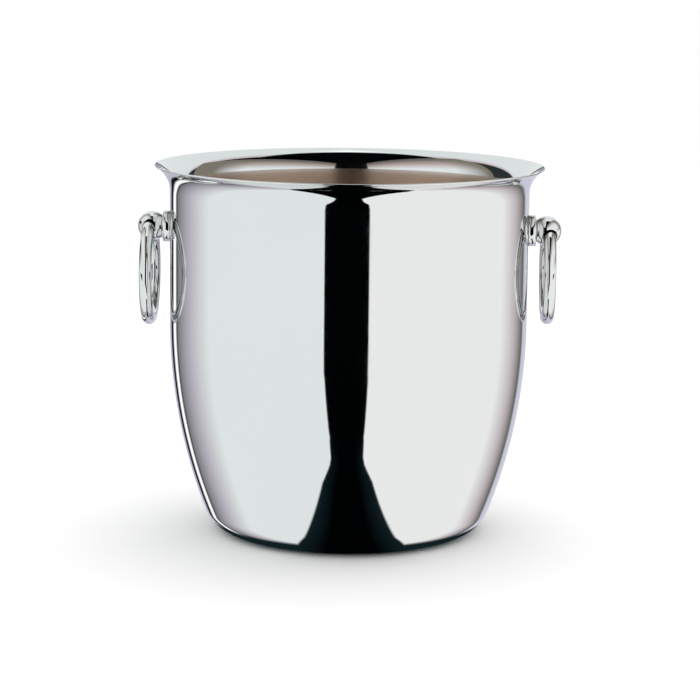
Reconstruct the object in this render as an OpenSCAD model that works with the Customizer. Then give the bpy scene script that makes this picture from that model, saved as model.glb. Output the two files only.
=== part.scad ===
// Champagne bucket: a drawn and spun steel bucket with a flared rim, and a swinging ring on each side.
// Each ring runs through a ball knob. The knob's shank passes a collar and the bucket's wall,
// and is held inside by a seal, a washer and a cap nut.
// Frame: origin at the middle of the base, on the table; +Z up; the rings are on -X (left) and +X (right).

/* [Bucket] */
// Outer diameter of the flared rim
rim_d = 210; // [200:1:220]
// Height from the table to the top of the rim
bucket_h = 200; // [190:1:215]
// Outer diameter of the straight part of the wall
wall_d = 194; // [188:1:196]
// Thickness of the sheet
sheet_t = 1; // [0.8:0.1:1.5]
// Radius of the flare under the rim
flare_r = 15; // [12:0.5:20]
// Height where the straight wall starts to curve in
belly_z = 115; // [90:1:130]
// Radius of the lower wall's long curve
belly_r = 286; // [250:2:320]
// Radius of the bend between the wall and the base
corner_r = 18; // [12:1:24]
// Width of the flat ring that the bucket stands on
seat_w = 7; // [4:0.5:10]
// Rise of the pressed-up middle of the base
base_rise = 2.5; // [1:0.5:4]

/* [Rings] */
// Thickness of the ring's wire
wire_d = 6.9; // [6:0.1:7.1]
// Diameter of the ring at the middle of its wire
ring_d = 50.6; // [46:0.1:60]
// How far the wire's middle sits above the knob bore's axis
ring_lift = 0.45; // [0.35:0.05:0.6]

/* [Knobs] */
// Height of the knobs' middles above the table
knob_z = 165.5; // [155:0.5:172]
// Diameter of the ball
knob_d = 16; // [15:0.1:17]
// Distance from the ball's middle to its flat back
knob_seat = 5.8; // [5.6:0.1:6.5]
// Diameter of the bore that the ring runs through
bore_d = 8.3; // [8.2:0.1:9]
// How far the bore's axis lies outside the ball's middle
bore_shift = 1.5; // [0:0.1:1.8]
// Turn of the left bore from level, front end down
left_turn = -3; // [-25:1:25]
// Turn of the right bore from level, front end down
right_turn = 20; // [-25:1:25]

/* [Collars] */
// Diameter of the collar
collar_d = 16.9; // [15:0.1:20]
// Thickness of the collar at its middle
collar_t = 3.9; // [3:0.1:5]
// Radius of the collar's rounded edge
collar_edge = 0.7; // [0.4:0.1:1.2]

/* [Fasteners] */
// Diameter of the knob's threaded shank
shank_d = 5; // [4:0.5:6]
// Outer diameter of the rubber seal
seal_d = 13; // [12:0.5:16]
// Thickness of the seal at its middle
seal_t = 1.2; // [0.8:0.1:2]
// Outer diameter of the steel washer
washer_d = 12; // [10:0.5:14]
// Thickness of the washer
washer_t = 1; // [0.8:0.1:1.5]
// Width across the flats of the cap nut
nut_af = 8; // [8:0.5:10]
// Height of the cap nut's hexagon
nut_hex_h = 4; // [3:0.5:6]
// Height of the whole cap nut
nut_h = 10; // [9:0.5:12]

/* [Hidden] */

LEFT = -1;
RIGHT = 1;
STEEL = "lightsteelblue";
SATIN = "silver";
RUBBER = "dimgray";

rim_r = rim_d / 2;
wall_r = wall_d / 2;
inner_r = wall_r - sheet_t;
knob_r = knob_d / 2;
bore_r = bore_d / 2;
collar_r = collar_d / 2;
shank_r = shank_d / 2;

clear_thread = 0.05;      // radial room between the shank and the nut's thread
clear_hole = 0.15;        // radial room between the shank and the parts that it passes

// The flare is an arc that leaves the wall upright and stops at the rim.
flare_x = wall_r + flare_r;
flare_mid_r = flare_r + sheet_t / 2;
flare_end = acos((flare_x + sheet_t / 2 - rim_r) / flare_mid_r);
flare_z = bucket_h - sheet_t / 2 - flare_mid_r * sin(flare_end);

// The long curve and the corner bend are tangent to the wall, to each other and to the base.
belly_x = wall_r - belly_r;
corner_dx = sqrt(pow(belly_r - corner_r, 2) - pow(belly_z - corner_r, 2));
corner_x = belly_x + corner_dx;
belly_end = atan((belly_z - corner_r) / corner_dx);
seat_in = corner_x - seat_w;      // inner edge of the ring that the bucket stands on
step_w = 8;                       // width of the slope up to the base's middle

// Along X from the bucket's axis: where each piece of a handle starts or ends.
knob_x = wall_r + collar_t + knob_seat;
ring_x = knob_x + bore_shift;
seal_x = inner_r - seal_t;
washer_x = seal_x - washer_t;
shank_l = wall_r + collar_t - (washer_x - nut_hex_h - 1.5);
nut_bore_l = nut_hex_h + 2;

$fn = 96;

// Points on an arc in the profile plane, from angle a0 to a1 in degrees.
function arc(cx, cz, r, a0, a1, n) =
    [for (i = [0:n]) let (a = a0 + (a1 - a0) * i / n) [cx + r * cos(a), cz + r * sin(a)]];

// The base's smooth step, from the seat (s = 0) up to the middle (s = 1).
function base_step(lift, n) =
    [for (i = [0:n]) let (s = i / n) [seat_in - step_w * s, lift + base_rise * s * s * (3 - 2 * s)]];

function reversed(list) = [for (i = [len(list) - 1:-1:0]) list[i]];

// One face of the sheet from the base's middle to the flare's end. offset is 0 outside, sheet_t inside.
function sheet_face(offset) = concat(
    [[0, base_rise + offset]],
    reversed(base_step(offset, 8)),
    arc(corner_x, corner_r, corner_r - offset, -90, -belly_end, 10),
    arc(belly_x, belly_z, belly_r - offset, -belly_end, 0, 20),
    arc(flare_x, flare_z, flare_r + offset, 180, 180 - flare_end, 12));

// The rim's rounded edge, from the outside face over to the inside face.
function rim_edge() = arc(
    flare_x - flare_mid_r * cos(flare_end), flare_z + flare_mid_r * sin(flare_end), sheet_t / 2,
    -flare_end + 22.5, -flare_end + 157.5, 6);

module along_x() {
    rotate([0, 90, 0]) children();
}

// Places a handle's piece, drawn for the right side, on either side.
module on_side(side) {
    mirror([side == LEFT ? 1 : 0, 0, 0]) children();
}

module bucket_body() {
    color(STEEL)
    difference() {
        rotate_extrude($fn = 180)
            polygon(concat(sheet_face(0), rim_edge(), reversed(sheet_face(sheet_t))));
        for (side = [LEFT, RIGHT])
            translate([side * wall_r, 0, knob_z])
                along_x() cylinder(r = shank_r + clear_hole, h = 6, center = true);
    }
}

// A ring hangs below the bore, in the plane square to X, turned with the bore about X.
module ring(turn) {
    color(STEEL)
    translate([ring_x, 0, knob_z])
        rotate([turn, 0, 0])
            translate([0, 0, ring_lift - ring_d / 2])
                along_x() rotate_extrude() translate([ring_d / 2, 0]) circle(d = wire_d);
}

// The bore's tool: a straight hole along Y, a little outside the ball's middle.
module bore_cut() {
    translate([bore_shift, 0, 0])
        rotate([90, 0, 0])
            cylinder(r = bore_r, h = 2 * knob_r, center = true);
}

module knob(turn) {
    color(STEEL)
    translate([knob_x, 0, knob_z])
        difference() {
            union() {
                intersection() {
                    rotate([90 + turn, 0, 0]) sphere(r = knob_r);
                    translate([-knob_seat, -knob_r, -knob_r])
                        cube([knob_seat + knob_r, knob_d, knob_d]);
                }
                translate([-knob_seat - shank_l, 0, 0])
                    along_x() cylinder(r = shank_r, h = shank_l + 1);
            }
            rotate([turn, 0, 0]) bore_cut();
        }
}

// A round disc with eased rims, bored for the shank. Its back is hollowed to lie on the wall.
module collar() {
    edge = collar_edge;
    color(STEEL)
    difference() {
        translate([wall_r - 1, 0, knob_z])
            along_x() rotate_extrude()
                polygon(concat(
                    [[shank_r + clear_hole, 0], [collar_r - 0.3, 0], [collar_r, 0.3]],
                    arc(collar_r - edge, collar_t + 1 - edge, edge, 0, 90, 6),
                    [[shank_r + clear_hole, collar_t + 1]]));
        translate([0, 0, knob_z - collar_d])
            cylinder(r = wall_r, h = 2 * collar_d, $fn = 720);
    }
}

// Soft washer: flat on its inner face, and pressed to the wall's curve on its outer face.
module seal() {
    color(RUBBER)
    intersection() {
        translate([seal_x, 0, knob_z])
            along_x() difference() {
                cylinder(d = seal_d, h = 2 * seal_t);
                translate([0, 0, -1]) cylinder(r = shank_r + clear_thread, h = 2 * seal_t + 2);
            }
        translate([0, 0, knob_z - seal_d])
            cylinder(r = inner_r, h = 2 * seal_d, $fn = 720);
    }
}

module washer() {
    color(SATIN)
    translate([washer_x, 0, knob_z])
        along_x() difference() {
            cylinder(d = washer_d, h = washer_t);
            translate([0, 0, -1]) cylinder(r = shank_r + clear_hole, h = washer_t + 2);
        }
}

// Cap nut: a hexagon with a domed end that points to the bucket's axis.
module cap_nut() {
    dome_r = nut_af / 2 - 0.3;
    corner_d = nut_af / cos(30);
    color(SATIN)
    translate([washer_x, 0, knob_z])
        rotate([0, -90, 0])
            difference() {
                union() {
                    intersection() {
                        cylinder(d = corner_d, h = nut_hex_h, $fn = 6);
                        cylinder(r1 = nut_af / 2 + nut_hex_h, r2 = nut_af / 2, h = nut_hex_h);
                    }
                    cylinder(r = dome_r, h = nut_h - dome_r);
                    translate([0, 0, nut_h - dome_r]) sphere(r = dome_r);
                }
                translate([0, 0, -1]) cylinder(r = shank_r + clear_thread, h = nut_bore_l + 1);
            }
}

bucket_body();
on_side(LEFT) ring(left_turn);  // left_ring
on_side(LEFT) knob(left_turn);  // left_knob
on_side(LEFT) collar();  // left_collar
on_side(LEFT) seal();  // left_seal
on_side(LEFT) washer();  // left_washer
on_side(LEFT) cap_nut();  // left_cap_nut
on_side(RIGHT) ring(right_turn);  // right_ring
on_side(RIGHT) knob(right_turn);  // right_knob
on_side(RIGHT) collar();  // right_collar
on_side(RIGHT) seal();  // right_seal
on_side(RIGHT) washer();  // right_washer
on_side(RIGHT) cap_nut();  // right_cap_nut
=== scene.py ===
"""Champagne bucket: looks and stage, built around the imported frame. The mesh code works in millimetres."""
import math

import bpy
import bmesh
from mathutils import Matrix, Vector


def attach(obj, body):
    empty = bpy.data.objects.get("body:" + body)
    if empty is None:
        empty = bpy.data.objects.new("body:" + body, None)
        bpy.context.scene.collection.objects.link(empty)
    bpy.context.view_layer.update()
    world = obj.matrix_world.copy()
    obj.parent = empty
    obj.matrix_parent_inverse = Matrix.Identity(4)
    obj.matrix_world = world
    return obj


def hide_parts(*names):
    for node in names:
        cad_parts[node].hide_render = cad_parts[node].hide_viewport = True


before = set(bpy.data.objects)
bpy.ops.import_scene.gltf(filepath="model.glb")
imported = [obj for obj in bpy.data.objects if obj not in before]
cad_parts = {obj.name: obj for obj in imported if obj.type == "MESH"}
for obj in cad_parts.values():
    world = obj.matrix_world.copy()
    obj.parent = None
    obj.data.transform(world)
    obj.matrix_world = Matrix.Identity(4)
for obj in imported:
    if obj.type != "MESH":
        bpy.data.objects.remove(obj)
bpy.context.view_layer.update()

MM = 0.001
LEFT, RIGHT = -1, 1

# Sizes, as in part.scad
RIM_R, BUCKET_H, WALL_R, SHEET_T, FLARE_R = 105.0, 200.0, 97.0, 1.0, 15.0
BELLY_Z, BELLY_R, CORNER_R, SEAT_W, BASE_RISE, STEP_W = 115.0, 286.0, 18.0, 7.0, 2.5, 8.0
INNER_R = WALL_R - SHEET_T
WIRE_R, RING_R, RING_LIFT = 3.45, 25.3, 0.45
KNOB_Z, KNOB_R, KNOB_SEAT = 165.5, 8.0, 5.8
BORE_R, BORE_SHIFT = 4.15, 1.5
COLLAR_R, COLLAR_T, COLLAR_EDGE = 8.45, 3.9, 0.7
SHANK_R, HOLE_R, THREAD_R = 2.5, 2.65, 2.55
SEAL_R, SEAL_T, WASHER_R, WASHER_T = 6.5, 1.2, 6.0, 1.0
NUT_AF, NUT_HEX_H, NUT_H, NUT_BORE = 8.0, 4.0, 10.0, 6.0
TURN = {LEFT: math.radians(-3), RIGHT: math.radians(20)}
SIDE_NAME = {LEFT: "left", RIGHT: "right"}
KNOB_X = WALL_R + COLLAR_T + KNOB_SEAT
RING_X = KNOB_X + BORE_SHIFT
SEAL_X = INNER_R - SEAL_T
WASHER_X = SEAL_X - WASHER_T

flare_x = WALL_R + FLARE_R
flare_mid = FLARE_R + SHEET_T / 2
flare_end = math.acos((flare_x + SHEET_T / 2 - RIM_R) / flare_mid)
flare_z = BUCKET_H - SHEET_T / 2 - flare_mid * math.sin(flare_end)
belly_x = WALL_R - BELLY_R
corner_dx = math.sqrt((BELLY_R - CORNER_R) ** 2 - (BELLY_Z - CORNER_R) ** 2)
corner_x = belly_x + corner_dx
belly_end = math.atan((BELLY_Z - CORNER_R) / corner_dx)
seat_in = corner_x - SEAT_W


# ---------------------------------------------------------------- mesh helpers
def arc(cx, cz, r, a0, a1, n):
    angles = [a0 + (a1 - a0) * i / n for i in range(n + 1)]
    return [(cx + r * math.cos(a), cz + r * math.sin(a)) for a in angles]


def line(a, b, n):
    return [(a[0] + (b[0] - a[0]) * i / n, a[1] + (b[1] - a[1]) * i / n) for i in range(n + 1)]


def joined(*parts):
    out = []
    for part in parts:
        for p in part:
            if not out or math.dist(out[-1], p) > 1e-6:
                out.append(p)
    return out


def to_mesh(name, verts, faces, sharp=35.0):
    """A mesh from millimetre points, its normals outward, smooth but for edges sharper than sharp degrees."""
    bm = bmesh.new()
    made = [bm.verts.new(Vector(v) * MM) for v in verts]
    for f in faces:
        bm.faces.new([made[i] for i in f])
    bmesh.ops.remove_doubles(bm, verts=bm.verts, dist=1e-7)
    bmesh.ops.recalc_face_normals(bm, faces=bm.faces)
    mesh = bpy.data.meshes.new(name)
    bm.to_mesh(mesh)
    bm.free()
    mesh.shade_smooth()
    mesh.set_sharp_from_angle(angle=math.radians(sharp))
    return mesh


def add(name, mesh):
    obj = bpy.data.objects.new(name, mesh)
    bpy.context.scene.collection.objects.link(obj)
    return obj


def circle(r, z, segs):
    """Points round Z."""
    angles = [2 * math.pi * k / segs for k in range(segs)]
    return [(r * math.cos(a), r * math.sin(a), z) for a in angles]


def tube_faces(rows, segs):
    """Faces between rows of segs points each, the last row joined to the first."""
    faces = []
    for i in range(rows):
        near, far = i * segs, (i + 1) % rows * segs
        for k in range(segs):
            j = (k + 1) % segs
            faces.append((near + k, near + j, far + j, far + k))
    return faces


def lathe(profile, segs, closed=False):
    """Verts and faces of a profile of (r, z) turned about Z. A point at r = 0 is a pole."""
    verts, rings = [], []
    for r, z in profile:
        if r < 1e-6:
            rings.append([len(verts)] * segs)
            verts.append((0.0, 0.0, z))
        else:
            rings.append(list(range(len(verts), len(verts) + segs)))
            verts += circle(r, z, segs)
    faces = []
    pairs = list(zip(rings, rings[1:])) + ([(rings[-1], rings[0])] if closed else [])
    for a, b in pairs:
        for k in range(segs):
            j = (k + 1) % segs
            face = []
            for i in (a[k], a[j], b[j], b[k]):
                if i not in face:
                    face.append(i)
            if len(face) > 2:
                faces.append(face)
    return verts, faces


def placed(verts, matrix):
    return [tuple(matrix @ Vector(v)) for v in verts]


def boolean(obj, tool, operation):
    """Applies a boolean to obj's mesh and removes the tool."""
    mod = obj.modifiers.new("cut", "BOOLEAN")
    mod.operation, mod.solver, mod.object = operation, "EXACT", tool
    dg = bpy.context.evaluated_depsgraph_get()
    mesh = bpy.data.meshes.new_from_object(obj.evaluated_get(dg), depsgraph=dg)
    obj.modifiers.clear()
    old, name = obj.data, obj.data.name
    obj.data = mesh
    bpy.data.meshes.remove(old)
    mesh.name = name
    bpy.data.objects.remove(tool)


# ---------------------------------------------------------------- material helpers
class Nodes:
    """A short way to write node trees: each call adds a node and returns it."""

    def __init__(self, tree):
        self.tree = tree
        tree.nodes.clear()

    def new(self, kind, inputs=None, **props):
        node = self.tree.nodes.new(kind)
        for k, v in props.items():
            setattr(node, k, v)
        for k, v in (inputs or {}).items():
            self.put(node.inputs[k], v)
        return node

    def put(self, socket, value):
        if isinstance(value, bpy.types.Node):
            value = value.outputs[0]
        if isinstance(value, bpy.types.NodeSocket):
            self.tree.links.new(value, socket)
        else:
            socket.default_value = value

    def math(self, op, a, b=0.0, clamp=False):
        return self.new("ShaderNodeMath", {0: a, 1: b}, operation=op, use_clamp=clamp)

    def span(self, value, lo, hi, out_lo=0.0, out_hi=1.0, smooth=False):
        ends = {"Value": value, "From Min": lo, "From Max": hi, "To Min": out_lo, "To Max": out_hi}
        return self.new("ShaderNodeMapRange", ends, interpolation_type="SMOOTHSTEP" if smooth else "LINEAR")

    def mix(self, fac, a, b):
        node = self.new("ShaderNodeMix", data_type="RGBA")
        for i, v in ((0, fac), (6, a), (7, b)):
            self.put(node.inputs[i], v)
        return node.outputs[2]

    def scaled(self, vector, scale):
        return self.new("ShaderNodeVectorMath", {0: vector, 1: scale}, operation="MULTIPLY")

    def noise(self, co, scale, detail, **more):
        inputs = {"Vector": self.scaled(co, scale), "Scale": 1.0, "Detail": detail}
        inputs.update({name.capitalize(): value for name, value in more.items()})
        return self.new("ShaderNodeTexNoise", inputs).outputs[0]

    def bump(self, height, strength, distance):
        return self.new("ShaderNodeBump", {"Strength": strength, "Distance": distance, "Height": height})


def material(name):
    mat = bpy.data.materials.new(name)
    mat.use_nodes = True
    n = Nodes(mat.node_tree)
    out = n.new("ShaderNodeOutputMaterial")
    bsdf = n.new("ShaderNodeBsdfPrincipled")
    n.put(out.inputs["Surface"], bsdf)
    coord = n.new("ShaderNodeTexCoord").outputs["Object"]
    return mat, n, bsdf, coord


def polished(name, lines):
    """Mirror-polished stainless steel. lines stretches the fine polishing lines along X, Y and Z."""
    mat, n, bsdf, co = material(name)
    tint = n.noise(co, (14, 14, 14), 3.0)
    n.put(bsdf.inputs["Base Color"], n.mix(tint, (0.775, 0.790, 0.785, 1), (0.80, 0.81, 0.805, 1)))
    bsdf.inputs["Metallic"].default_value = 1.0
    smudge = n.noise(co, (38, 38, 30), 5.0, roughness=0.6)
    spots = n.span(smudge, 0.52, 0.72, 0.0, 1.0, smooth=True)
    fine = n.noise(co, lines, 2.0)
    rough = n.math("ADD", n.math("MULTIPLY", spots, 0.025), n.span(fine, 0.3, 0.7, 0.030, 0.050))
    n.put(bsdf.inputs["Roughness"], rough)
    n.put(bsdf.inputs["Normal"], n.bump(fine, 0.05, 0.00002))
    return mat


def satin(name, base, warm, rough_lo, rough_hi, aniso):
    """Satin-brushed steel, its lines running round the Z axis, paler where it meets the polished rim."""
    mat, n, bsdf, co = material(name)
    lines = n.noise(co, (9, 9, 2600), 3.0, roughness=0.7)
    broad = n.noise(co, (6, 6, 420), 2.0)
    both = n.math("ADD", n.math("MULTIPLY", lines, 0.6), n.math("MULTIPLY", broad, 0.4))
    rim = n.span(n.new("ShaderNodeSeparateXYZ", {0: co}).outputs[2], 0.1850, 0.1890, smooth=True)
    brushed = n.mix(n.span(both, 0.35, 0.65), base, warm)
    n.put(bsdf.inputs["Base Color"], n.mix(rim, brushed, (0.84, 0.76, 0.71, 1)))
    bsdf.inputs["Metallic"].default_value = 1.0
    n.put(bsdf.inputs["Roughness"], n.span(both, 0.3, 0.7, rough_lo, rough_hi))
    bsdf.inputs["Anisotropic"].default_value = aniso
    bsdf.inputs["Anisotropic Rotation"].default_value = 0.25
    n.put(bsdf.inputs["Tangent"], n.new("ShaderNodeTangent", direction_type="RADIAL", axis="Z"))
    n.put(bsdf.inputs["Normal"], n.bump(both, 0.25, 0.00004))
    return mat


def fastener(name):
    """Plain bright stainless steel."""
    mat, n, bsdf, co = material(name)
    grain = n.noise(co, (900, 900, 900), 4.0)
    n.put(bsdf.inputs["Base Color"], n.mix(grain, (0.60, 0.595, 0.58, 1), (0.70, 0.695, 0.68, 1)))
    bsdf.inputs["Metallic"].default_value = 1.0
    n.put(bsdf.inputs["Roughness"], n.span(grain, 0.3, 0.7, 0.18, 0.32))
    n.put(bsdf.inputs["Normal"], n.bump(grain, 0.1, 0.00003))
    return mat


def rubber(name):
    """Matt dark rubber."""
    mat, n, bsdf, co = material(name)
    grain = n.noise(co, (1500, 1500, 1500), 4.0)
    n.put(bsdf.inputs["Base Color"], n.mix(grain, (0.018, 0.018, 0.018, 1), (0.04, 0.04, 0.042, 1)))
    n.put(bsdf.inputs["Roughness"], n.span(grain, 0.3, 0.7, 0.6, 0.8))
    n.put(bsdf.inputs["Normal"], n.bump(grain, 0.2, 0.00005))
    return mat


mat_outside = polished("steel_mirror_outside", (5, 5, 1800))
mat_hardware = polished("steel_mirror_hardware", (260, 260, 260))
mat_inside = satin("steel_satin_inside", (0.80, 0.60, 0.46, 1), (0.88, 0.70, 0.57, 1), 0.28, 0.36, 0.97)
mat_under = satin("steel_satin_under", (0.62, 0.61, 0.60, 1), (0.70, 0.69, 0.68, 1), 0.22, 0.34, 0.6)
mat_fastener = fastener("steel_fastener")
mat_rubber = rubber("rubber_seal")


# ---------------------------------------------------------------- bucket
def base_step(lift, n):
    """The smooth step from the seat ring up to the raised middle of the base."""
    steps = [i / n for i in range(n + 1)]
    return [(seat_in - STEP_W * u, lift + BASE_RISE * u ** 2 * (3 - 2 * u)) for u in steps]


def sheet_face(offset, fine):
    """From the base's middle to the flare's end: outside at offset 0, inside at the sheet's thickness."""
    return joined(
        line((0, BASE_RISE + offset), (seat_in - STEP_W, BASE_RISE + offset), 5),
        list(reversed(base_step(offset, 12))),
        line((seat_in, offset), (corner_x, offset), 2),
        arc(corner_x, CORNER_R, CORNER_R - offset, -math.pi / 2, -belly_end, 24 if fine else 16),
        arc(belly_x, BELLY_Z, BELLY_R - offset, -belly_end, 0, 40 if fine else 28),
        line((WALL_R - offset, BELLY_Z), (WALL_R - offset, flare_z), 14),
        arc(flare_x, flare_z, FLARE_R + offset, math.pi, math.pi - flare_end, 24),
    )


def make_shell():
    outer, inner = sheet_face(0, True), sheet_face(SHEET_T, False)
    edge_x = flare_x - flare_mid * math.cos(flare_end)
    edge_z = flare_z + flare_mid * math.sin(flare_end)
    edge = arc(edge_x, edge_z, SHEET_T / 2, -flare_end, math.pi - flare_end, 10)
    verts, faces = lathe(joined(outer, edge, list(reversed(inner))), 360)
    shell = add("bucket_shell", to_mesh("bucket_shell", verts, faces, 60))
    for side in (LEFT, RIGHT):
        spin = Matrix.Translation((side * WALL_R, 0, KNOB_Z)) @ Matrix.Rotation(math.pi / 2, 4, "Y")
        v, f = lathe([(0, -4), (HOLE_R, -4), (HOLE_R, 4), (0, 4)], 32)
        boolean(shell, add("hole_tool", to_mesh("hole_tool", placed(v, spin), f)), "DIFFERENCE")
    mesh = shell.data
    mesh.shade_smooth()
    mesh.set_sharp_from_angle(angle=math.radians(60))
    mesh.materials.clear()
    for m in (mat_outside, mat_inside, mat_under):
        mesh.materials.append(m)
    for poly in mesh.polygons:
        c, nrm = poly.center / MM, poly.normal
        r = math.hypot(c.x, c.y)
        inward = -(nrm.x * c.x + nrm.y * c.y) / max(r, 1e-6)
        inside = inward > 0.5 or (nrm.z > 0.5 and c.z < 100) or (inward > 0.1 and c.z < 186)
        if inside and c.z < flare_z + 3.0:
            poly.material_index = 1
        elif nrm.z < -0.5 and r < corner_x + 2 and c.z < 4:
            poly.material_index = 2
        else:
            poly.material_index = 0
    return shell


# ---------------------------------------------------------------- handles
def side_matrix(side):
    return Matrix.Diagonal((side, 1, 1, 1))


def along_x(x):
    """Places a shape that was turned about Z so that its Z runs along +X from x, at the knobs' height."""
    return Matrix.Translation((x, 0, KNOB_Z)) @ Matrix.Rotation(math.pi / 2, 4, "Y")


def make_ring(side):
    verts, faces = [], []
    n, m = 192, 40
    for i in range(n):
        a = 2 * math.pi * i / n
        for j in range(m):
            b = 2 * math.pi * j / m
            r = RING_R + WIRE_R * math.cos(b)
            verts.append((WIRE_R * math.sin(b), r * math.sin(a), r * math.cos(a) + RING_LIFT - RING_R))
    for i in range(n):
        for j in range(m):
            p, q = (i + 1) % n, (j + 1) % m
            faces.append((i * m + j, p * m + j, p * m + q, i * m + q))
    place = side_matrix(side) @ Matrix.Translation((RING_X, 0, KNOB_Z)) @ Matrix.Rotation(TURN[side], 4, "X")
    return add(f"{SIDE_NAME[side]}_ring_wire", to_mesh("ring", placed(verts, place), faces))


def make_knob(side):
    """A ball, bored a little outside its middle, cut flat at the back and joined to its threaded shank."""
    tilt = Matrix.Rotation(TURN[side], 4, "X") @ Matrix.Rotation(math.pi / 2, 4, "X")
    verts, faces = lathe(arc(0, 0, KNOB_R, math.pi / 2, -math.pi / 2, 72), 144)
    knob = add(f"{SIDE_NAME[side]}_ball_knob", to_mesh("knob", placed(verts, tilt), faces, 40))
    v, f = lathe([(0, -12), (BORE_R, -12), (BORE_R, 12), (0, 12)], 96)
    v = placed(v, tilt @ Matrix.Translation((BORE_SHIFT, 0, 0)))
    boolean(knob, add("bore_tool", to_mesh("bore_tool", v, f)), "DIFFERENCE")
    mesh = knob.data
    bm = bmesh.new()
    bm.from_mesh(mesh)
    everything = bm.verts[:] + bm.edges[:] + bm.faces[:]
    cut = bmesh.ops.bisect_plane(bm, geom=everything, plane_co=(-KNOB_SEAT * MM, 0, 0), plane_no=(-1, 0, 0),
                                 clear_outer=True)
    bmesh.ops.holes_fill(bm, edges=[e for e in cut["geom_cut"] if isinstance(e, bmesh.types.BMEdge)], sides=0)
    bmesh.ops.recalc_face_normals(bm, faces=bm.faces)
    bm.to_mesh(mesh)
    bm.free()
    length = WALL_R + COLLAR_T - (WASHER_X - NUT_HEX_H - 1.5)
    pitch, depth, per_turn, around = 0.8, 0.42, 8, 32
    rows = int(length / pitch * per_turn)
    v = []
    for i in range(rows + 1):
        z = length * i / rows
        for k in range(around):
            phase = (z / pitch - k / around) % 1.0
            groove = max(0.0, 1 - abs(phase - 0.5) / 0.42)
            fade = min(1.0, z / 0.8, max(0.0, (length - 8.0 - z) / 0.8))
            r = SHANK_R - depth * groove * max(0.0, fade) - (0.35 if i == 0 else 0.0)
            a = 2 * math.pi * k / around
            v.append((r * math.cos(a), r * math.sin(a), z))
    v += circle(SHANK_R, length + 1.0, around)
    f = tube_faces(rows + 2, around)[:-around]
    f += [tuple(range(around)), tuple((rows + 1) * around + k for k in range(around))]
    v = placed(v, Matrix.Translation((-KNOB_SEAT - length, 0, 0)) @ Matrix.Rotation(math.pi / 2, 4, "Y"))
    shank = add("shank_tool", to_mesh("shank_tool", v, f))
    boolean(knob, shank, "UNION")
    knob.data.transform(Matrix.Scale(1000, 4))
    knob.data.transform(side_matrix(side) @ Matrix.Translation((KNOB_X, 0, KNOB_Z)))
    knob.data.transform(Matrix.Scale(MM, 4))
    if side == LEFT:
        knob.data.flip_normals()
    knob.data.shade_smooth()
    knob.data.set_sharp_from_angle(angle=math.radians(40))
    return knob


def make_collar(side):
    """Rounded disc whose back lies on the wall's curve."""
    segs, e = 128, COLLAR_EDGE
    front = WALL_R + COLLAR_T
    rows = [(HOLE_R, front - 0.25), (HOLE_R + 0.25, front)]
    rows += [(HOLE_R + (COLLAR_R - e - HOLE_R) * i / 4, front) for i in (1, 2, 3)]
    rows += arc(COLLAR_R - e, front - e, e, math.pi / 2, 0, 8)
    rows += [(COLLAR_R, None, 0.30), (COLLAR_R - 0.09, None, 0.09), (COLLAR_R - 0.30, None, 0.0)]
    rows += [(HOLE_R + (COLLAR_R - 0.3 - HOLE_R) * i / 4, None, 0.0) for i in (3, 2, 1, 0)]
    verts = []
    for row in rows:
        for k in range(segs):
            a = 2 * math.pi * k / segs
            y, z = row[0] * math.cos(a), row[0] * math.sin(a)
            x = row[1] if row[1] is not None else math.sqrt(WALL_R ** 2 - y * y) + row[2]
            verts.append((x, y, z + KNOB_Z))
    faces = tube_faces(len(rows), segs)
    verts = placed(verts, side_matrix(side))
    return add(f"{SIDE_NAME[side]}_collar_disc", to_mesh("collar", verts, faces, 50))


def make_seal(side):
    segs = 96
    rows = [(THREAD_R, SEAL_X), (SEAL_R - 0.25, SEAL_X), (SEAL_R - 0.07, SEAL_X + 0.07)]
    rows += [(SEAL_R, SEAL_X + 0.25), (SEAL_R, None), (SEAL_R * 0.7, None), (THREAD_R, None)]
    verts = []
    for r, x in rows:
        for k in range(segs):
            a = 2 * math.pi * k / segs
            y, z = r * math.cos(a), r * math.sin(a)
            verts.append((x if x is not None else math.sqrt(INNER_R ** 2 - y * y), y, z + KNOB_Z))
    faces = tube_faces(len(rows), segs)
    return add(f"{SIDE_NAME[side]}_wall_seal", to_mesh("seal", placed(verts, side_matrix(side)), faces, 40))


def make_washer(side):
    c = 0.12
    profile = [(HOLE_R, 0), (WASHER_R - c, 0), (WASHER_R, c)]
    profile += [(WASHER_R, WASHER_T - c), (WASHER_R - c, WASHER_T), (HOLE_R, WASHER_T)]
    verts, faces = lathe(profile, 96, closed=True)
    verts = placed(verts, side_matrix(side) @ along_x(WASHER_X))
    return add(f"{SIDE_NAME[side]}_flat_washer", to_mesh("washer", verts, faces, 30))


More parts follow.
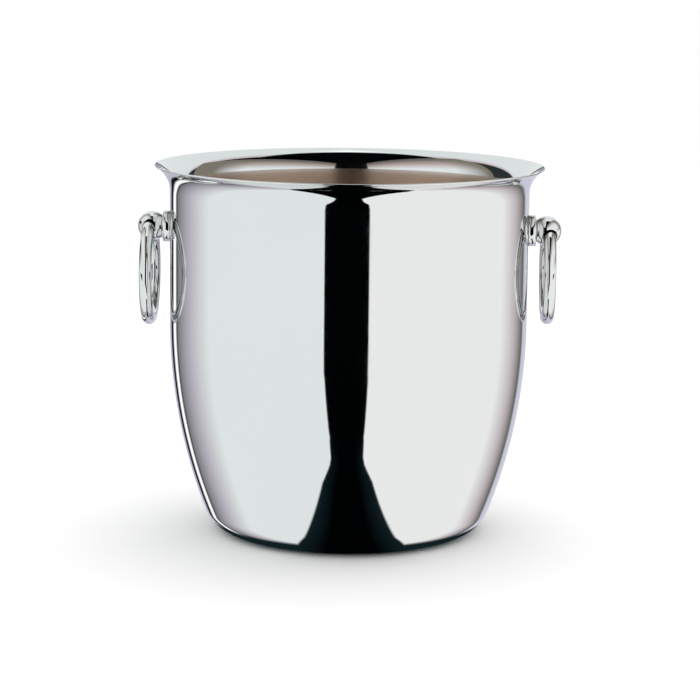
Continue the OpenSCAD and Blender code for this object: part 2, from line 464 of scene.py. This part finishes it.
def make_nut(side):
    """Cap nut: chamfered hexagon, domed end and blind bore."""
    segs, half = 96, NUT_AF / 2
    dome_r = half - 0.3
    rows = []
    for k in range(segs):
        a = 2 * math.pi * k / segs
        hexa = half / math.cos((a + math.pi / 6) % (math.pi / 3) - math.pi / 6)
        column = [(THREAD_R, 0.0), (THREAD_R + 0.3, 0.0), (hexa, 0.0), (hexa, NUT_HEX_H - (hexa - half))]
        column += [(half, NUT_HEX_H), (dome_r + 0.12, NUT_HEX_H), (dome_r, NUT_HEX_H + 0.12)]
        column += arc(0, NUT_H - dome_r, dome_r, 0, math.pi / 2, 14)[:-1]
        rows.append([(r * math.cos(a), r * math.sin(a), z) for r, z in column])
    count = len(rows[0])
    verts = [p for col in rows for p in col]
    faces = []
    for k in range(segs):
        near, far = k * count, (k + 1) % segs * count
        faces += [(near + i, far + i, far + i + 1, near + i + 1) for i in range(count - 1)]
    top = len(verts)
    verts.append((0, 0, NUT_H))
    faces += [(k * count + count - 1, ((k + 1) % segs) * count + count - 1, top) for k in range(segs)]
    bottom = len(verts)
    verts += circle(THREAD_R, NUT_BORE, segs)
    tip = len(verts)
    verts.append((0, 0, NUT_BORE))
    faces += [(k * count, bottom + k, bottom + (k + 1) % segs, ((k + 1) % segs) * count) for k in range(segs)]
    faces += [(bottom + k, tip, bottom + (k + 1) % segs) for k in range(segs)]
    place = Matrix.Translation((WASHER_X, 0, KNOB_Z)) @ Matrix.Rotation(-math.pi / 2, 4, "Y")
    place = side_matrix(side) @ place
    return add(f"{SIDE_NAME[side]}_domed_nut", to_mesh("nut", placed(verts, place), faces, 25))


def finish_piece(obj, body, node, mat=None):
    if mat:
        obj.data.materials.clear()
        obj.data.materials.append(mat)
    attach(obj, body)
    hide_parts(node)


shell = make_shell()
finish_piece(shell, "bucket", "bucket_body")
for side in (LEFT, RIGHT):
    s = SIDE_NAME[side]
    finish_piece(make_ring(side), f"{s}_handle", f"{s}_ring", mat_hardware)
    finish_piece(make_knob(side), "bucket", f"{s}_knob", mat_hardware)
    finish_piece(make_collar(side), "bucket", f"{s}_collar", mat_hardware)
    finish_piece(make_seal(side), "bucket", f"{s}_seal", mat_rubber)
    finish_piece(make_washer(side), "bucket", f"{s}_washer", mat_fastener)
    finish_piece(make_nut(side), "bucket", f"{s}_cap_nut", mat_fastener)


# ---------------------------------------------------------------- stage
# Tones of the studio, as the screen values out of 255 that they show as in the steel.
PALE_LEFT, PALE_RIGHT = (220, 225, 225), (230, 230, 230)
LILAC, ROSE = (180, 175, 185), (185, 175, 180)
DUSK_LEFT, DUSK_RIGHT = (115, 115, 120), (90, 90, 85)
NIGHT, WHITE = (15, 20, 25), (255, 255, 255)
REAR_LEFT, REAR_RIGHT = (175, 175, 190), (190, 190, 205)
WARM, WARM_TOP, SCREEN_BACK = (180, 165, 160), (105, 100, 95), (120, 115, 105)
CEILING, CEILING_EDGE, HAZE = (215, 220, 220), (190, 175, 180), (40, 45, 45)
# Round the bucket, by degrees from the camera's side: pale paper that falls into shade behind. On the left a
# black edge, a white strip and a dark panel follow before the rear wall.
LEFT_ROUND = [(98, PALE_LEFT), (120, LILAC), (140, DUSK_LEFT), (143, NIGHT), (146, WHITE), (149, WHITE)]
LEFT_ROUND += [(153, NIGHT), (158, NIGHT), (161, REAR_LEFT)]
RIGHT_ROUND = [(115, PALE_RIGHT), (134, ROSE), (150, DUSK_RIGHT), (155, REAR_RIGHT)]
# Up the side screens, from the horizon (0) to their top edge (1): pale, then warmer and darker.
SCREEN_UP = [(0.25, PALE_LEFT), (0.50, WARM), (0.85, WARM_TOP)]
STEEL = 0.785
BLACK = (0.0003, 0.0006, 0.0009, 1)
TEAL = (0.007, 0.017, 0.021, 1)
SHINE = (1.35, 1.38, 1.40, 1)


def tone(r, g, b):
    """The light that shows as this screen value after one reflection in the steel."""
    lin = [(v / 255 + 0.055) ** 2.4 / 1.055 ** 2.4 if v > 10 else v / 255 / 12.92 for v in (r, g, b)]
    return tuple(v / STEEL for v in lin) + (1,)


def ramp(n, fac, stops, scale=1.0):
    node = n.new("ShaderNodeValToRGB", {"Fac": fac})
    node.color_ramp.interpolation = "LINEAR"
    els = node.color_ramp.elements
    while len(els) > 1:
        els.remove(els[-1])
    els[0].position, els[0].color = stops[0][0] / scale, tone(*stops[0][1])
    for at, shade in stops[1:]:
        els.new(at / scale).color = tone(*shade)
    return node.outputs[0]


def round_the_bucket(n, x, front):
    """The studio's tone below the horizon by angle round the bucket, that angle, and 1 on the right side."""
    angle = n.math("ARCTAN2", n.math("ABSOLUTE", x), front)
    fac = n.math("DIVIDE", angle, math.pi)
    right = n.math("GREATER_THAN", x, 0.0)
    return n.mix(right, ramp(n, fac, LEFT_ROUND, 180), ramp(n, fac, RIGHT_ROUND, 180)), angle, right


def mirror_only(obj):
    """Lets obj show in reflections and nowhere else."""
    obj.visible_camera = obj.visible_diffuse = obj.visible_shadow = obj.visible_transmission = False


def make_floor():
    """The paper the bucket stands on, and a dark card on it that shows just in reflections: a dark strip, and
    painted shade under and close to the bucket.
    """
    verts, faces = lathe([(0, 0), (300, 0), (1500, 0), (9000, 0)], 96)
    floor = add("studio_floor", to_mesh("studio_floor", verts, faces))
    floor.location.z = -0.0003
    floor.visible_glossy = False
    mat = bpy.data.materials.new("floor_paper")
    mat.use_nodes = True
    n = Nodes(mat.node_tree)
    out = n.new("ShaderNodeOutputMaterial")
    n.put(out.inputs["Surface"], n.new("ShaderNodeBsdfDiffuse", {"Color": (0.92, 0.92, 0.92, 1)}))
    floor.data.materials.append(mat)

    verts, faces = lathe([(0, 0), (300, 0), (9000, 0)], 96)
    card = add("studio_dark_card", to_mesh("studio_dark_card", verts, faces))
    card.location.z = -0.0002
    mirror_only(card)
    mat = bpy.data.materials.new("dark_card")
    mat.use_nodes = True
    n = Nodes(mat.node_tree)
    out = n.new("ShaderNodeOutputMaterial")
    xyz = n.new("ShaderNodeSeparateXYZ", {0: n.new("ShaderNodeTexCoord").outputs["Object"]})
    x, y = xyz.outputs[0], xyz.outputs[1]
    front = n.math("MULTIPLY", y, -1.0)
    radius = n.math("SQRT", n.math("ADD", n.math("MULTIPLY", x, x), n.math("MULTIPLY", y, y)))
    off = n.math("ABSOLUTE", n.math("SUBTRACT", x, 0.0045))
    flat = n.new("ShaderNodeLayerWeight", {"Blend": 0.5}).outputs["Facing"]
    # A dark strip from under the bucket, fanning out towards the camera. The lip looks down on it from high
    # up and steeply, and sees less of the fan, but more of the painted shade close to the bucket.
    from_high = n.math("GREATER_THAN", n.new("ShaderNodeLightPath").outputs["Ray Length"], 0.12)
    lip = n.math("MULTIPLY", n.math("LESS_THAN", flat, 0.21), from_high)
    fan = n.math("MULTIPLY", n.math("SUBTRACT", front, 0.085), n.span(flat, 0.34, 0.52, 0.215, 0.272))
    waist = n.span(front, 0.135, 0.160, 0.0305, 0.0255)
    waist = n.math("ADD", waist, n.span(front, 0.172, 0.205, 0.0, 0.0075))
    # Painted shade: for the lip, the strip widens close to the bucket.
    close = n.math("POWER", n.span(front, 0.085, 0.270, 1.0, 0.0), 1.5)
    close = n.math("MULTIPLY", n.math("ADD", 0.0295, n.math("MULTIPLY", close, 0.0625)), lip)
    half = n.math("MAXIMUM", n.math("MAXIMUM", waist, fan), close)
    strip = n.span(n.math("SUBTRACT", off, half), -0.001, 0.001, 1.0, 0.0)
    strip = n.math("MULTIPLY", strip, n.math("GREATER_THAN", front, 0.0))
    strip = n.math("MAXIMUM", strip, n.math("GREATER_THAN", front, 0.45))
    # Painted shade: a dark disc of 73 mm under the bucket, wider where the lip looks down, stands in for the
    # shade beneath the base.
    under = n.math("SUBTRACT", radius, n.math("MULTIPLY", lip, n.span(flat, 0.08, 0.12, 0.033, 0.0)))
    dark = n.math("MAXIMUM", strip, n.span(under, 0.073, 0.076, 1.0, 0.0))
    teal = n.span(n.math("DIVIDE", off, half), 0.45, 1.0)
    teal = n.math("MULTIPLY", teal, n.span(front, 0.11, 0.22, 1.0, 0.0))
    teal = n.math("MULTIPLY", teal, n.math("SUBTRACT", 1.0, lip))
    glow = n.new("ShaderNodeEmission", {"Color": n.mix(teal, BLACK, TEAL), "Strength": 1.0})
    clear = n.new("ShaderNodeBsdfTransparent")
    n.put(out.inputs["Surface"], n.new("ShaderNodeMixShader", {0: dark, 1: clear, 2: glow}))
    card.data.materials.append(mat)


def painted_depth_shade(n):
    """Painted shade: the stage's light dims in reflections of reflections, standing in for the shade deep
    inside the bucket.
    """
    return n.span(n.new("ShaderNodeLightPath").outputs["Glossy Depth"], 2.0, 4.0, 1.0, 0.15)


def make_screen(side, slant, away, foot, front_end, rear_end, top, dims, white):
    """A pale upright screen beside the bucket, in reflections only: bright low down, brown-grey at its top.
    In front of foot it stands on the floor; behind it starts above the rim and dims away."""
    size = math.hypot(1, slant)
    out_x, out_y = side / size, -slant / size
    along_x, along_y = -side * slant / size, -1 / size

    def corner(s, z):
        return (away * out_x + s * along_x, away * out_y + s * along_y, z)
    verts = [corner(foot, 0), corner(front_end, 0), corner(front_end, top), corner(foot, top)]
    verts += [corner(rear_end, top), corner(rear_end, BUCKET_H), corner(foot, BUCKET_H)]
    name = f"studio_screen_{SIDE_NAME[side]}"
    screen = add(name, to_mesh(name, verts, [(0, 1, 2, 3, 6), (3, 4, 5, 6)]))
    mirror_only(screen)
    mat = bpy.data.materials.new(name)
    mat.use_nodes = True
    n = Nodes(mat.node_tree)
    xyz = n.new("ShaderNodeSeparateXYZ", {0: n.new("ShaderNodeTexCoord").outputs["Object"]})
    x, y, z = xyz.outputs
    up = n.span(z, 0.195, top * MM)
    behind = n.math("ADD", n.math("MULTIPLY", x, -along_x), n.math("MULTIPLY", y, -along_y))
    back = n.span(behind, dims[0] * MM, dims[1] * MM)
    colour = n.mix(n.span(up, 0.0, 0.2), tone(*white), ramp(n, up, SCREEN_UP))
    colour = n.mix(back, colour, tone(*SCREEN_BACK))
    out = n.new("ShaderNodeOutputMaterial")
    # Painted shade: the screen's light dims in reflections of reflections.
    n.put(out.inputs["Surface"], n.new("ShaderNodeEmission", {"Color": colour, "Strength": painted_depth_shade(n)}))
    screen.data.materials.append(mat)


def make_world():
    """Even pale light for the floor. In reflections: side screens with darkness at the camera's side, a white
    ceiling from above the bucket backwards, and the pale floor going on below the horizon."""
    world = bpy.data.worlds.new("studio_world")
    bpy.context.scene.world = world
    world.use_nodes = True
    n = Nodes(world.node_tree)
    out = n.new("ShaderNodeOutputWorld")
    xyz = n.new("ShaderNodeSeparateXYZ", {0: n.new("ShaderNodeTexCoord").outputs["Generated"]})
    x, y, z = xyz.outputs
    front = n.math("MULTIPLY", y, -1.0)
    low, angle, right = round_the_bucket(n, x, front)
    ax = n.math("ABSOLUTE", x)
    up = n.math("MAXIMUM", z, 0.001)
    # Screens: how far up the screen a direction points, 1 at its top edge.
    slant = n.span(right, 0, 1, 0.235, 0.40)
    across = n.math("ADD", ax, n.math("MULTIPLY", slant, n.math("MAXIMUM", front, 0.0)))
    height = n.math("DIVIDE", n.math("MULTIPLY", up, n.span(right, 0, 1, 0.62, 0.87)), across)
    back = n.span(angle, math.radians(78), math.radians(104))
    screen = n.mix(back, ramp(n, height, SCREEN_UP), tone(*SCREEN_BACK))
    gap = n.math("GREATER_THAN", angle, math.radians(45))
    screen_end = n.span(right, 0, 1, math.radians(109), math.radians(126))
    rear = n.span(n.math("SUBTRACT", angle, screen_end), -0.01, 0.01, 1.0, 0.0)
    shown = n.math("MULTIPLY", n.math("MULTIPLY", gap, rear), n.span(height, 0.70, 0.75, 1.0, 0.0))
    high = n.mix(shown, n.mix(rear, tone(*HAZE), BLACK), screen)
    # Ceiling, in units of its height above the bucket.
    over_x, over_y = n.math("DIVIDE", ax, up), n.math("DIVIDE", y, up)
    side = n.math("SUBTRACT", n.math("ADD", 0.66, n.math("MULTIPLY", over_y, 0.9)), over_x)
    ceiling = n.span(over_y, -0.035, 0.045, smooth=True)
    ceiling = n.math("MULTIPLY", ceiling, n.span(side, -0.05, 0.03, smooth=True))
    ceiling = n.math("MULTIPLY", ceiling, n.span(over_y, 7.0, 9.0, 1.0, 0.0, smooth=True))
    panel = n.mix(n.span(side, 0.0, 0.35, smooth=True), tone(*CEILING_EDGE), tone(*CEILING))
    panel = n.mix(n.span(n.math("ADD", over_x, over_y), 0.30, 0.05), panel, SHINE)
    high = n.mix(ceiling, high, panel)
    studio = n.mix(n.span(z, 0.0, 0.14, smooth=True), low, high)
    studio = n.mix(n.math("MAXIMUM", gap, n.math("LESS_THAN", z, -0.02)), BLACK, studio)
    studio = n.mix(ceiling, studio, high)
    light = n.new("ShaderNodeLightPath")
    camera = n.mix(light.outputs["Is Camera Ray"], (1.08, 1.08, 1.08, 1), (1.0, 1.0, 1.0, 1))
    seen = n.mix(light.outputs["Is Glossy Ray"], camera, studio)
    # Painted shade: the world dims in reflections of reflections, and what lies high above dims to 0.15 from
    # the second reflection on, darkening the bucket's inside.
    again = n.math("GREATER_THAN", n.new("ShaderNodeLightPath").outputs["Glossy Depth"], 1.5)
    above = n.math("MULTIPLY", again, n.span(z, 0.25, 0.5))
    strength = n.math("MULTIPLY", painted_depth_shade(n), n.span(above, 0.0, 1.0, 1.0, 0.15))
    n.put(out.inputs["Surface"], n.new("ShaderNodeBackground", {"Color": seen, "Strength": strength}))


def make_lamp(name, at, size, power):
    lamp = bpy.data.lights.new(name, "AREA")
    lamp.shape, lamp.size, lamp.energy = "DISK", size, power
    obj = bpy.data.objects.new(name, lamp)
    obj.location = at
    obj.rotation_euler = (Vector(at) - Vector((0, 0, 0.08))).to_track_quat("Z", "Y").to_euler()
    obj.visible_glossy = False
    bpy.context.scene.collection.objects.link(obj)


def make_camera():
    distance, height = 1.4, 0.3311
    pitch, roll, yaw = math.radians(9.481), math.radians(0.597), math.radians(1.42)
    cam = bpy.data.objects.new("camera", bpy.data.cameras.new("camera"))
    bpy.context.scene.collection.objects.link(cam)
    cam.data.sensor_width = 36.0
    cam.data.lens = 133.69
    cam.data.shift_x, cam.data.shift_y = 0.00287, 0.0035
    cam.data.clip_start, cam.data.clip_end = 0.05, 50
    stand = Matrix.Rotation(yaw, 4, "Z") @ Matrix.Translation((0, -distance, height))
    aim = Matrix.Rotation(math.pi / 2 - pitch, 4, "X") @ Matrix.Rotation(roll, 4, "Z")
    cam.matrix_world = stand @ aim
    bpy.context.scene.camera = cam


make_floor()
make_screen(LEFT, 0.235, 197, 60, 416, -220, 618, (58, 197), PALE_LEFT)
make_screen(RIGHT, 0.40, 262, 20, 380, -587, 604, (100, 293), PALE_RIGHT)
make_world()
make_lamp("top_light", (0.15, 0.35, 1.6), 1.2, 6)
make_camera()
bpy.context.scene.view_settings.view_transform = "Standard"
